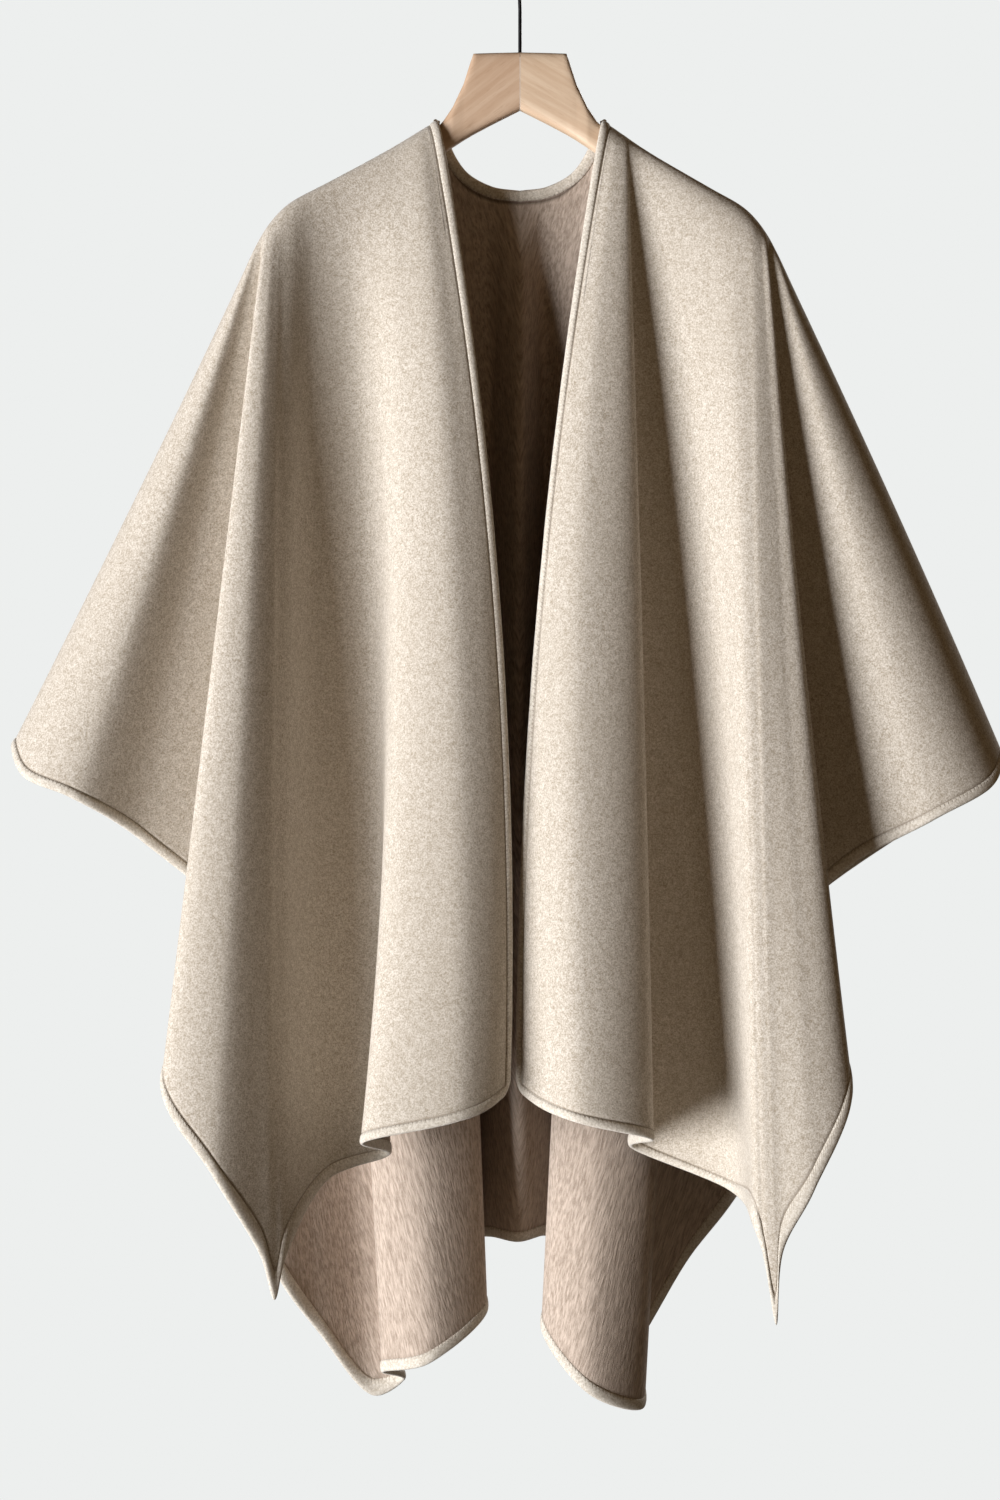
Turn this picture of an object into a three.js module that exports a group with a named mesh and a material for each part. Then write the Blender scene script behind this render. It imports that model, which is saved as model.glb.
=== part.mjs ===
import * as THREE from 'three';

// A long shawl cape of double-faced wool, open down the front, hanging on a contoured wooden hanger.
// Millimetres. Origin inside the top of the hook, +Z up, -Y the front, +X to the viewer's right.

// ---- driving sizes ----
const wall = 2.6; // both cloth faces together
const seamGap = 0.3;
const rimGap = 0.36;
const rimWall = 4.2; // the turned and bound edge, tape on both faces
const rimWidth = 9; // along fronts, hems and sleeves
const neckRimWidth = 8;
const lowerRings = 11; // rings between the shoulder roll and the hem

const oatmeal = new THREE.MeshStandardMaterial({ color: 0xb8aa94, roughness: 0.95, metalness: 0 });
const cream = new THREE.MeshStandardMaterial({ color: 0xd2c6b2, roughness: 0.9, metalness: 0 });
const beech = new THREE.MeshStandardMaterial({ color: 0xd8b08c, roughness: 0.55, metalness: 0 });
const blackWire = new THREE.MeshStandardMaterial({ color: 0x16161a, roughness: 0.4, metalness: 0.8 });

// ---- the lines that the cloth hangs from, given for one side ----
// Along the hanger's arm, round its end, and a little way down the folded sleeve.
const shoulderLine = [
  { at: 'neck', x: 69, y: 0, z: -164 },
  { at: 'inner arm', x: 112, y: -5, z: -190 },
  { at: 'outer arm', x: 155, y: -12, z: -215 },
  { at: 'arm end', x: 190, y: -18, z: -236 },
  { at: 'round the end', x: 207, y: -20, z: -256 },
  { at: 'below the end', x: 219, y: -20, z: -279 },
];
// Where the back panel meets its neck rim, from the shoulder to the centre.
const neckLine = [
  { at: 'neck', x: 69, y: 0, z: -164 },
  { at: 'over the arm', x: 69, y: 9, z: -166.5 },
  { at: 'behind the arm', x: 68, y: 15.5, z: -175 },
  { at: 'side', x: 63, y: 19, z: -190 },
  { at: 'turn', x: 49, y: 23, z: -209 },
  { at: 'low', x: 25, y: 26.5, z: -221.5 },
  { at: 'centre', x: 0, y: 27.5, z: -225 },
];
const sides = {
  right: { sign: -1, reach: 1.02, lower: 2 }, // the wearer's right, at the viewer's left
  left: { sign: 1, reach: 0.985, lower: 5 },
};

// ---- folds ----
// Each row is one line of the cloth from the shoulder (start: mm out from the neck, less than 0 along the
// back of the neck) to the edge below (x, y, z). bowX and bowY bend it half way down, roll is how far it
// stands off the hanger, and cells is the number of columns of wall up to the next row.
const rightFrontFolds = [
  { fold: 'front edge', start: 0, x: -9, y: -74, z: -971, bowX: 22, bowY: -2, roll: 17, cells: 1 },
  { fold: 'edge turn', start: 11, x: -30, y: -98, z: -985, bowX: 20, bowY: 0, roll: 17, cells: 2 },
  { fold: 'first crest', start: 18, x: -56, y: -109, z: -993, bowX: 11, bowY: 0, roll: 18, cells: 3 },
  { fold: 'first roll', start: 42, x: -127, y: -92, z: -1010, bowX: 18, bowY: 8, roll: 18, cells: 3 },
  { fold: 'first valley', start: 90, x: -112, y: 8, z: -1034, bowX: 4, bowY: 22, roll: 18, cells: 3 },
  { fold: 'valley floor', start: 116, x: -160, y: -16, z: -1050, bowX: -6, bowY: 24, roll: 18, cells: 3 },
  { fold: 'hem by the corner', start: 136, x: -193, y: -67, z: -1108, bowX: -4, bowY: 14, roll: 18, cells: 2 },
  { fold: 'corner', start: 146, x: -201, y: -76, z: -1141, bowX: -3, bowY: 8, roll: 18, cells: 1 },
  { fold: 'side by the corner', start: 153, x: -212, y: -81, z: -1105, bowX: 0, bowY: 3, roll: 18, cells: 2 },
  { fold: 'side curve', start: 160, x: -250, y: -101, z: -1036, bowX: 0, bowY: 0, roll: 18, cells: 3 },
  { fold: 'second roll', start: 167, x: -292, y: -85, z: -966, bowX: 0, bowY: 0, roll: 18, cells: 4 },
  { fold: 'hidden valley', start: 173, x: -224, y: 9, z: -866, bowX: 0, bowY: 7, roll: 18, cells: 4 },
  { fold: 'sleeve turn', start: 178, x: -316, y: -12, z: -768, bowX: 0, bowY: 5, roll: 17, cells: 2 },
  { fold: 'sleeve crest', start: 184, x: -371, y: -47, z: -731, bowX: 0, bowY: 0, roll: 14, cells: 2 },
  { fold: 'by the wrist', start: 189, x: -412, y: -34, z: -714, bowX: 1, bowY: 0, roll: 8, cells: 2 },
  { fold: 'wrist', start: 193, x: -426, y: 0, z: -689, bowX: 2, bowY: 0, roll: 0, cells: 0 },
];
const leftFrontFolds = [
  { fold: 'front edge', start: 0, x: -3, y: -56, z: -971, bowX: -18, bowY: -4, roll: 17, cells: 1 },
  { fold: 'edge turn', start: 11, x: 18, y: -84, z: -984, bowX: -20, bowY: -4, roll: 17, cells: 2 },
  { fold: 'first crest', start: 16, x: 48, y: -110, z: -993, bowX: -15, bowY: 0, roll: 18, cells: 3 },
  { fold: 'first roll', start: 22, x: 105, y: -88, z: -1008, bowX: 2, bowY: 4, roll: 18, cells: 3 },
  { fold: 'first valley', start: 27, x: 96, y: 8, z: -1028, bowX: -2, bowY: 4, roll: 18, cells: 3 },
  { fold: 'valley floor', start: 34, x: 176, y: -12, z: -1060, bowX: 5, bowY: 14, roll: 18, cells: 4 },
  { fold: 'second crest', start: 122, x: 190, y: -98, z: -1080, bowX: 2, bowY: 0, roll: 18, cells: 2 },
  { fold: 'hem by the corner', start: 132, x: 197, y: -106, z: -1104, bowX: -1, bowY: 0, roll: 18, cells: 2 },
  { fold: 'corner', start: 143, x: 206, y: -113, z: -1155, bowX: -2, bowY: 0, roll: 18, cells: 1 },
  { fold: 'side by the corner', start: 150, x: 212, y: -109, z: -1096, bowX: -2, bowY: 0, roll: 18, cells: 2 },
  { fold: 'side curve', start: 159, x: 237, y: -110, z: -1047, bowX: 0, bowY: 5, roll: 18, cells: 3 },
  { fold: 'second roll', start: 168, x: 269, y: -86, z: -966, bowX: -4, bowY: 3, roll: 18, cells: 4 },
  { fold: 'hidden valley', start: 173, x: 210, y: 6, z: -868, bowX: 0, bowY: 6, roll: 18, cells: 4 },
  { fold: 'sleeve turn', start: 178, x: 270, y: -8, z: -794, bowX: 0, bowY: 4, roll: 17, cells: 2 },
  { fold: 'sleeve crest', start: 184, x: 342, y: -48, z: -749, bowX: 0, bowY: 0, roll: 14, cells: 2 },
  { fold: 'by the wrist', start: 189, x: 391, y: -36, z: -722, bowX: 2, bowY: 0, roll: 8, cells: 2 },
  { fold: 'wrist', start: 193, x: 405, y: 0, z: -697, bowX: 3, bowY: 0, roll: 0, cells: 0 },
];
const rightBackFolds = [
  { fold: 'wrist', start: 193, x: -426, y: 0, z: -689, bowX: 2, bowY: 0, roll: 0, cells: 2 },
  { fold: 'by the wrist', start: 189, x: -414, y: 28, z: -715, bowX: 1, bowY: 0, roll: 8, cells: 2 },
  { fold: 'sleeve crest', start: 183, x: -352, y: 44, z: -743, bowX: 0, bowY: 0, roll: 14, cells: 2 },
  { fold: 'hidden valley', start: 175, x: -232, y: 26, z: -850, bowX: 0, bowY: 0, roll: 17, cells: 3 },
  { fold: 'side ridge', start: 166, x: -272, y: 88, z: -985, bowX: 10, bowY: 6, roll: 18, cells: 3 },
  { fold: 'side edge', start: 156, x: -212, y: 66, z: -1137, bowX: 0, bowY: 10, roll: 18, cells: 2 },
  { fold: 'side by the corner', start: 150, x: -174, y: 96, z: -1198, bowX: 0, bowY: 9, roll: 18, cells: 2 },
  { fold: 'corner', start: 143, x: -127, y: 125, z: -1258, bowX: 0, bowY: 8, roll: 18, cells: 1 },
  { fold: 'hem by the corner', start: 134, x: -101, y: 117, z: -1243, bowX: -8, bowY: 8, roll: 18, cells: 2 },
  { fold: 'ridge outside', start: 104, x: -118, y: 80, z: -1229, bowX: 0, bowY: 4, roll: 18, cells: 3 },
  { fold: 'ridge crest', start: 48, x: -78, y: 48, z: -1216, bowX: 0, bowY: 8, roll: 17, cells: 3 },
  { fold: 'ridge inside', start: 0, x: -29, y: 82, z: -1178, bowX: 0, bowY: 4, roll: 15, cells: 2 },
  { fold: 'behind the arm', start: -20, x: -40, y: 110, z: -1164, bowX: 0, bowY: 6, roll: 0, cells: 2 },
  { fold: 'ridge root', start: -66, x: -54, y: 140, z: -1148, bowX: 0, bowY: 8, roll: 0, cells: 3 },
  { fold: 'deep valley', start: -89, x: -39, y: 180, z: -1130, bowX: 0, bowY: 24, roll: 0, cells: 2 },
  { fold: 'strip side', start: -102, x: -25, y: 142, z: -1121, bowX: 3, bowY: -4, roll: 0, cells: 2 },
];
const centreBackFold = { fold: 'centre', start: -112.6, x: -1, y: 118, z: -1122, bowX: 0, bowY: -18, roll: 0, cells: 2 };
const leftBackFolds = [
  { fold: 'strip side', start: -105, x: 22, y: 142, z: -1120, bowX: -3, bowY: -4, roll: 0, cells: 2 },
  { fold: 'deep valley', start: -96, x: 36, y: 180, z: -1132, bowX: 0, bowY: 24, roll: 0, cells: 3 },
  { fold: 'ridge root', start: -74, x: 51, y: 140, z: -1158, bowX: 0, bowY: 8, roll: 0, cells: 2 },
  { fold: 'behind the arm', start: -20, x: 36, y: 110, z: -1176, bowX: 0, bowY: 6, roll: 0, cells: 2 },
  { fold: 'ridge inside', start: 0, x: 20, y: 82, z: -1192, bowX: 0, bowY: 4, roll: 15, cells: 3 },
  { fold: 'ridge crest', start: 46, x: 58, y: 48, z: -1241, bowX: 0, bowY: 8, roll: 17, cells: 3 },
  { fold: 'ridge outside', start: 102, x: 105, y: 80, z: -1261, bowX: 0, bowY: 4, roll: 18, cells: 2 },
  { fold: 'hem by the corner', start: 132, x: 102, y: 134, z: -1238, bowX: 0, bowY: 4, roll: 18, cells: 1 },
  { fold: 'corner', start: 141, x: 101, y: 148, z: -1222, bowX: 0, bowY: 4, roll: 18, cells: 1 },
  { fold: 'side by the corner', start: 147, x: 112, y: 156, z: -1207, bowX: 0, bowY: 4, roll: 18, cells: 2 },
  { fold: 'side curve', start: 152, x: 150, y: 164, z: -1145, bowX: 0, bowY: 6, roll: 18, cells: 2 },
  { fold: 'side edge', start: 158, x: 190, y: 158, z: -1092, bowX: 0, bowY: 6, roll: 18, cells: 3 },
  { fold: 'side ridge', start: 166, x: 250, y: 126, z: -985, bowX: 0, bowY: 6, roll: 18, cells: 3 },
  { fold: 'hidden valley', start: 175, x: 220, y: 26, z: -852, bowX: 0, bowY: 0, roll: 17, cells: 2 },
  { fold: 'sleeve crest', start: 183, x: 332, y: 44, z: -760, bowX: 0, bowY: 0, roll: 14, cells: 2 },
  { fold: 'by the wrist', start: 189, x: 393, y: 26, z: -723, bowX: 2, bowY: 0, roll: 8, cells: 2 },
  { fold: 'wrist', start: 193, x: 405, y: 0, z: -697, bowX: 3, bowY: 0, roll: 0, cells: 0 },
];

// ---- lines of cloth ----
const asVector = (row) => new THREE.Vector3(row.x, row.y, row.z);
const smoothLine = (points) => new THREE.CatmullRomCurve3(points, false, 'centripetal');

function hangingPoint(start, side) {
  const onNeck = start < 0;
  const line = smoothLine((onNeck ? neckLine : shoulderLine).map(asVector));
  const point = line.getPointAt(Math.min(1, Math.abs(start) / line.getLength()));
  const out = onNeck ? 0 : Math.min(1, start / 60);
  point.x *= side.sign * (1 + (side.reach - 1) * out);
  point.z -= side.lower * out;
  return point;
}

// A point between two folds at the shoulder seam or the neck, on the line itself.
function topPoint(a, b, part, side, facing) {
  const point = hangingPoint(a.start + (b.start - a.start) * part, side);
  if (a.start + b.start > 0) point.y += facing * seamGap / 2;
  return point;
}

// How far up a fold the rim reaches, so that it is rimWidth wide square to an outline that runs aslant.
function rimReach(rows, r, side) {
  const end = asVector(rows[r]);
  const down = end.clone().sub(hangingPoint(rows[r].start, side)).normalize();
  const slants = [rows[r - 1], rows[r + 1]].filter(Boolean).map((other) => {
    const outline = asVector(other).sub(end).normalize();
    return outline.cross(down).length();
  });
  return Math.min(rimWidth / Math.min(...slants), rimWidth * 3);
}

// The points of one fold from its start to the hem, at the rings of the panel.
function foldPoints(row, side, facing, reachUp) {
  const top = hangingPoint(row.start, side);
  if (row.start >= 0) top.y += facing * seamGap / 2;
  const end = asVector(row);
  if (row.fold === 'wrist') end.y = facing * seamGap / 2;
  const reach = end.clone().sub(top);
  const length = reach.length();
  const out = new THREE.Vector3(0, facing, 0);
  const straight = reach.clone().addScaledVector(out, -row.roll);
  const rings = [0, 9, 20, 34, 56];
  const last = length - reachUp;
  for (let i = 1; i <= lowerRings; i += 1) rings.push(56 + (last - 56) * i / lowerRings);
  rings.push(length);
  return rings.map((s) => {
    const stand = row.roll > 0 ? row.roll * (1 - Math.exp(-s / row.roll)) : 0;
    const full = row.roll > 0 ? row.roll * (1 - Math.exp(-length / row.roll)) : 0;
    const t = s / length;
    const point = top.clone().addScaledVector(out, stand);
    point.addScaledVector(straight, (s - stand) / (length - full));
    const bow = 4 * t * (1 - t);
    point.x += row.bowX * bow;
    point.y += row.bowY * bow;
    return point;
  });
}

// Columns of points over a whole panel: the folds, and smooth cloth between them.
function panelGrid(rows, facing, firstInset) {
  const rings = rows[0].points.length;
  const columns = [];
  for (let r = 0; r < rows.length - 1; r += 1) {
    for (let c = 0; c < rows[r].cells; c += 1) columns.push({ row: r, part: c / rows[r].cells });
  }
  columns.push({ row: rows.length - 1, part: 0 });
  if (firstInset) columns.splice(1, 0, { row: 0, inset: true });
  const grid = columns.map(() => []);
  for (let k = 0; k < rings; k += 1) {
    const across = smoothLine(rows.map((row) => row.points[k]));
    columns.forEach((column, i) => {
      let part = column.part;
      if (column.inset) {
        const a = rows[column.row].points[k];
        const b = rows[column.row + 1].points[k];
        part = rimWidth / a.distanceTo(b);
      }
      if (part === 0) grid[i].push(rows[column.row].points[k].clone());
      else if (k === 0) grid[i].push(topPoint(rows[column.row], rows[column.row + 1], part, rows[column.row].side, facing));
      else grid[i].push(across.getPoint((column.row + part) / (rows.length - 1)));
    });
  }
  return grid;
}

// Outward direction at each point (turn is 1 where down by across points out). On a seam it stays in the plane of the seam.
function panelNormals(grid, turn, isSeam) {
  const m = grid.length;
  const n = grid[0].length;
  return grid.map((column, i) => column.map((_, k) => {
    const across = grid[Math.min(i + 1, m - 1)][k].clone().sub(grid[Math.max(i - 1, 0)][k]);
    const down = grid[i][Math.min(k + 1, n - 1)].clone().sub(grid[i][Math.max(k - 1, 0)]);
    const normal = down.cross(across).multiplyScalar(turn).normalize();
    if (isSeam(i, k)) normal.setY(0).normalize();
    return normal;
  }));
}

// ---- solids ----
function meshFromFaces(name, points, faces, material) {
  const geometry = new THREE.BufferGeometry();
  const positions = new Float32Array(points.length * 3);
  points.forEach((p, i) => positions.set([p.x, p.y, p.z], i * 3));
  geometry.setAttribute('position', new THREE.BufferAttribute(positions, 3));
  geometry.setIndex(faces.flat());
  geometry.computeVertexNormals();
  const mesh = new THREE.Mesh(geometry, material);
  mesh.name = name;
  return mesh;
}

// A wall of even thickness on both sides of a grid, closed round its border.
function wallMesh(name, grid, normals, turn, material) {
  const m = grid.length;
  const n = grid[0].length;
  const points = [];
  for (const side of [1, -1]) {
    grid.forEach((column, i) => column.forEach((p, k) => {
      points.push(p.clone().addScaledVector(normals[i][k], side * wall / 2));
    }));
  }
  const id = (i, k, under) => under * m * n + i * n + k;
  const faces = [];
  const quad = (a, b, c, d) => {
    if (turn > 0) faces.push([a, b, c], [a, c, d]);
    else faces.push([a, c, b], [a, d, c]);
  };
  for (let i = 0; i < m - 1; i += 1) {
    for (let k = 0; k < n - 1; k += 1) {
      quad(id(i, k, 0), id(i, k + 1, 0), id(i + 1, k + 1, 0), id(i + 1, k, 0));
      quad(id(i, k, 1), id(i + 1, k, 1), id(i + 1, k + 1, 1), id(i, k + 1, 1));
    }
    quad(id(i, 0, 1), id(i, 0, 0), id(i + 1, 0, 0), id(i + 1, 0, 1));
    quad(id(i, n - 1, 1), id(i + 1, n - 1, 1), id(i + 1, n - 1, 0), id(i, n - 1, 0));
  }
  for (let k = 0; k < n - 1; k += 1) {
    quad(id(0, k, 1), id(0, k + 1, 1), id(0, k + 1, 0), id(0, k, 0));
    quad(id(m - 1, k, 0), id(m - 1, k + 1, 0), id(m - 1, k + 1, 1), id(m - 1, k, 1));
  }
  return meshFromFaces(name, points, faces, material);
}

// The bound edge: a strip that carries on from the border of a panel. Each stop has the border point, the
// way on from it in the cloth, the width, and the outward directions at the border and at the rim.
function rimMesh(name, stops, material) {
  const half = rimWall / 2;
  const rings = stops.map(({ base, onward, width, baseOut, rimOut }) => {
    const at = (depth, height) => base.clone().addScaledVector(onward, depth)
      .addScaledVector(baseOut.clone().lerp(rimOut, depth / width), height);
    const gap = rimGap * Math.max(1, width / rimWidth);
    return [
      at(gap, wall / 2), at(width * 0.4, half), at(width, half * 0.5),
      at(width, -half * 0.5), at(width * 0.4, -half), at(gap, -wall / 2),
    ];
  });
  return ringsMesh(name, rings, material);
}

// A closed body through rings of equal count, with flat ends.
function ringsMesh(name, rings, material) {
  const n = rings[0].length;
  const points = rings.flat();
  const faces = [];
  for (let i = 0; i < rings.length - 1; i += 1) {
    for (let k = 0; k < n; k += 1) {
      const a = i * n + k;
      const b = i * n + (k + 1) % n;
      faces.push([a, b, b + n], [a, b + n, a + n]);
    }
  }
  const flat = rings[0].map((p) => p.clone());
  for (const [ring, base, back] of [[flat, 0, true], [rings[rings.length - 1], (rings.length - 1) * n, false]]) {
    for (const [a, b, c] of endTriangles(ring)) {
      faces.push(back ? [base + a, base + c, base + b] : [base + a, base + b, base + c]);
    }
  }
  const mesh = meshFromFaces(name, points, faces, material);
  if (volumeOf(mesh) < 0) mesh.geometry.setIndex(faces.map(([a, b, c]) => [a, c, b]).flat());
  mesh.geometry.computeVertexNormals();
  return mesh;
}

// Triangles over the end of a body, drawn flat in the plane of its ring and kept in ring order.
function endTriangles(ring) {
  const normal = new THREE.Vector3();
  ring.forEach((p, i) => {
    const q = ring[(i + 1) % ring.length];
    normal.x += (p.y - q.y) * (p.z + q.z);
    normal.y += (p.z - q.z) * (p.x + q.x);
    normal.z += (p.x - q.x) * (p.y + q.y);
  });
  normal.normalize();
  const u = ring[1].clone().sub(ring[0]);
  u.addScaledVector(normal, -u.dot(normal)).normalize();
  const v = normal.clone().cross(u);
  const outline = ring.map((p) => new THREE.Vector2(p.dot(u), p.dot(v)));
  const turned = THREE.ShapeUtils.area(outline) > 0;
  return THREE.ShapeUtils.triangulateShape(outline, []).map(([a, b, c]) => (turned ? [a, b, c] : [a, c, b]));
}

function volumeOf(mesh) {
  const p = mesh.geometry.getAttribute('position');
  const index = mesh.geometry.getIndex();
  const [a, b, c] = [new THREE.Vector3(), new THREE.Vector3(), new THREE.Vector3()];
  let sum = 0;
  for (let i = 0; i < index.count; i += 3) {
    a.fromBufferAttribute(p, index.getX(i));
    b.fromBufferAttribute(p, index.getX(i + 1));
    c.fromBufferAttribute(p, index.getX(i + 2));
    sum += a.dot(b.cross(c)) / 6;
  }
  return sum;
}

// ---- the cape ----
const frontSets = [
  { name: 'right_front', rows: rightFrontFolds, side: sides.right },
  { name: 'left_front', rows: leftFrontFolds, side: sides.left },
];

// A stop of a rim between a point of the panel's border and the outline point beyond it.
function rimStop(grid, normals, [rimI, rimK, i, k]) {
  const onward = grid[rimI][rimK].clone().sub(grid[i][k]);
  const width = onward.length();
  return { base: grid[i][k], onward: onward.divideScalar(width), width, baseOut: normals[i][k], rimOut: normals[rimI][rimK] };
}

function frontPanel({ name, rows, side }) {
  const folds = rows.map((row, r) => ({ ...row, side, points: foldPoints(row, side, -1, rimReach(rows, r, side)) }));
  const grid = panelGrid(folds, -1, true);
  const m = grid.length;
  const n = grid[0].length;
  const normals = panelNormals(grid, side.sign, (i, k) => k === 0 || i === m - 1);
  const panel = wallMesh(name, inside(grid, 1, m - 1), inside(normals, 1, m - 1), side.sign, oatmeal);
  const path = [];
  for (let k = 0; k < n - 2; k += 1) path.push([0, k, 1, k]);
  path.push([0, n - 1, 1, n - 2]);
  for (let i = 2; i < m; i += 1) path.push([i, n - 1, i, n - 2]);
  return [panel, rimMesh(`${name}_rim`, path.map((stop) => rimStop(grid, normals, stop)), cream)];
}

// The part of a grid that the panel itself fills, without the outline ring that the rim fills.
const inside = (grid, first, last) => grid.slice(first, last + 1).map((column) => column.slice(0, -1));

function backPanel() {
  const table = [
    ...rightBackFolds.map((row) => ({ ...row, side: sides.right })),
    { ...centreBackFold, side: sides.left },
    ...leftBackFolds.map((row) => ({ ...row, side: sides.left })),
  ];
  const rows = table.map((row, r) => ({ ...row, points: foldPoints(row, row.side, 1, rimReach(table, r, row.side)) }));
  const grid = panelGrid(rows, 1, false);
  const m = grid.length;
  const n = grid[0].length;
  const columnOf = (rowNumber) => rows.slice(0, rowNumber).reduce((sum, row) => sum + row.cells, 0);
  const neckRows = rows.map((row, r) => (row.start === 0 ? columnOf(r) : -1)).filter((i) => i >= 0);
  const onSeam = (i, k) => i === 0 || i === m - 1 || (k === 0 && (i <= neckRows[0] || i >= neckRows[1]));
  const normals = panelNormals(grid, -1, onSeam);
  const panel = wallMesh('back_panel', inside(grid, 0, m - 1), inside(normals, 0, m - 1), -1, oatmeal);
  const hem = grid.map((_, i) => rimStop(grid, normals, [i, n - 1, i, n - 2]));
  const neck = [];
  for (let i = neckRows[0] + 1; i < neckRows[1]; i += 1) {
    const along = grid[i + 1][0].clone().sub(grid[i - 1][0]);
    const onward = normals[i][0].clone().cross(along).normalize();
    if (onward.z < 0 && Math.abs(onward.z) > 0.5) onward.negate();
    neck.push({ base: grid[i][0], onward, width: neckRimWidth, baseOut: normals[i][0], rimOut: normals[i][0] });
  }
  return [panel, rimMesh('back_rim', hem, cream), rimMesh('neck_rim', neck, cream)];
}

// ---- the hanger ----
const mitreGap = 0.3;
const hangerCorners = 14;
// Upright slices of one half of the hanger, from the mitred middle out to the end of the arm.
const hangerSlices = [
  { at: 'mitre', x: 0.15, y: 0, top: -106, bottom: -154, thick: 18 },
  { at: 'head', x: 24, y: 0, top: -106.5, bottom: -166, thick: 18 },
  { at: 'head corner', x: 39, y: 0, top: -107, bottom: -174, thick: 18 },
  { at: 'below the corner', x: 41.5, y: 0, top: -114, bottom: -175.5, thick: 18 },
  { at: 'hollow', x: 47.5, y: 0, top: -133, bottom: -179, thick: 18 },
  { at: 'hollow end', x: 56.5, y: -0.5, top: -152, bottom: -185, thick: 18 },
  { at: 'shoulder', x: 64, y: -1, top: -163, bottom: -190.5, thick: 15 },
  { at: 'neck', x: 70, y: -1, top: -169.8, bottom: -194.5, thick: 14 },
  { at: 'inner arm', x: 110, y: -5, top: -193, bottom: -218, thick: 17 },
  { at: 'outer arm', x: 152, y: -11, top: -218.5, bottom: -241, thick: 16 },
  { at: 'arm end', x: 174, y: -16, top: -232, bottom: -251, thick: 16 },
  { at: 'rounding', x: 183, y: -17.5, top: -240, bottom: -253, thick: 11 },
  { at: 'tip', x: 187, y: -18, top: -245, bottom: -251, thick: 5 },
];

function hangerHalf(name, side) {
  const rings = hangerSlices.map((slice) => {
    const ring = [];
    const middle = (slice.top + slice.bottom) / 2 - side.lower * Math.min(1, Math.max(0, slice.x - 69) / 50);
    const high = (slice.top - slice.bottom) / 2;
    const squareness = 0.72;
    for (let i = 0; i < hangerCorners; i += 1) {
      const turn = (i + 0.5) / hangerCorners * 2 * Math.PI;
      const c = Math.cos(turn);
      const s = Math.sin(turn);
      const y = Math.sign(c) * Math.abs(c) ** squareness * slice.thick / 2;
      const z = Math.sign(s) * Math.abs(s) ** squareness * high;
      ring.push(new THREE.Vector3(side.sign * slice.x, slice.y + y, middle + z));
    }
    return ring;
  });
  return ringsMesh(name, rings, beech);
}

const wireRadius = 1.5;
const bowRadius = 20.5; // to the middle of the wire, so the inside of the bow is 38 mm across
const stemFoot = -105.6;
function hookWire() {
  const middle = wireRadius - bowRadius;
  const path = [
    { x: 0, z: stemFoot }, { x: 0, z: -88 }, { x: 0, z: -70 }, { x: 0, z: -58 },
    { x: 3, z: -49 }, { x: 11, z: -39 },
  ].map((p) => new THREE.Vector3(p.x, 0, p.z));
  for (let degrees = -40; degrees <= 200; degrees += 20) {
    const a = degrees * Math.PI / 180;
    path.push(new THREE.Vector3(bowRadius * Math.cos(a), 0, middle + bowRadius * Math.sin(a)));
  }
  const line = smoothLine(path);
  const rings = [];
  const stops = 40;
  for (let i = 0; i <= stops; i += 1) {
    const p = line.getPoint(i / stops);
    const along = line.getTangent(i / stops);
    const across = new THREE.Vector3(0, 1, 0);
    const up = along.clone().cross(across).normalize();
    const ring = [];
    for (let k = 0; k < 10; k += 1) {
      const a = k / 10 * 2 * Math.PI;
      ring.push(p.clone().addScaledVector(across, wireRadius * Math.cos(a))
        .addScaledVector(up, wireRadius * Math.sin(a)));
    }
    rings.push(ring);
  }
  return ringsMesh('hook', rings, blackWire);
}

const group = new THREE.Group();
for (const set of frontSets) group.add(...frontPanel(set));
group.add(...backPanel());
group.add(hangerHalf('hanger_right_half', sides.right), hangerHalf('hanger_left_half', sides.left));
group.add(hookWire());
export default group;
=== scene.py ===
# Long shawl cape of double-faced wool on a contoured beech hanger.
# The tables are in millimetres, as a cutter would note them; meshes are made in metres.
# Origin inside the top of the hook, +Z up, -Y the front, +X to the viewer's right.
import math
import bpy
import bmesh
import numpy as np
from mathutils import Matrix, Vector


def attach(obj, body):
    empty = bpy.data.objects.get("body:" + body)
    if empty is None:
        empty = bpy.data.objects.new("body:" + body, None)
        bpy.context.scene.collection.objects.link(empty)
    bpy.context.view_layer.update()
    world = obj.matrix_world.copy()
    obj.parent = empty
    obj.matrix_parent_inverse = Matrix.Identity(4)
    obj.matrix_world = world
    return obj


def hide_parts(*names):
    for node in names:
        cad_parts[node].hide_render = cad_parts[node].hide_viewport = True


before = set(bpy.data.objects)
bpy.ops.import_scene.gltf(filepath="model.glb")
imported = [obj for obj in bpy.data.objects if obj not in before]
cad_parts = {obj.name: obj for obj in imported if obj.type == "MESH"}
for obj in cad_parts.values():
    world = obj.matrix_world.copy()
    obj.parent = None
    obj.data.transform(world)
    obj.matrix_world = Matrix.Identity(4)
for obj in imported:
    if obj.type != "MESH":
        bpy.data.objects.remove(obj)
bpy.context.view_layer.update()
mm = 0.001
print("frame loaded")

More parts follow.
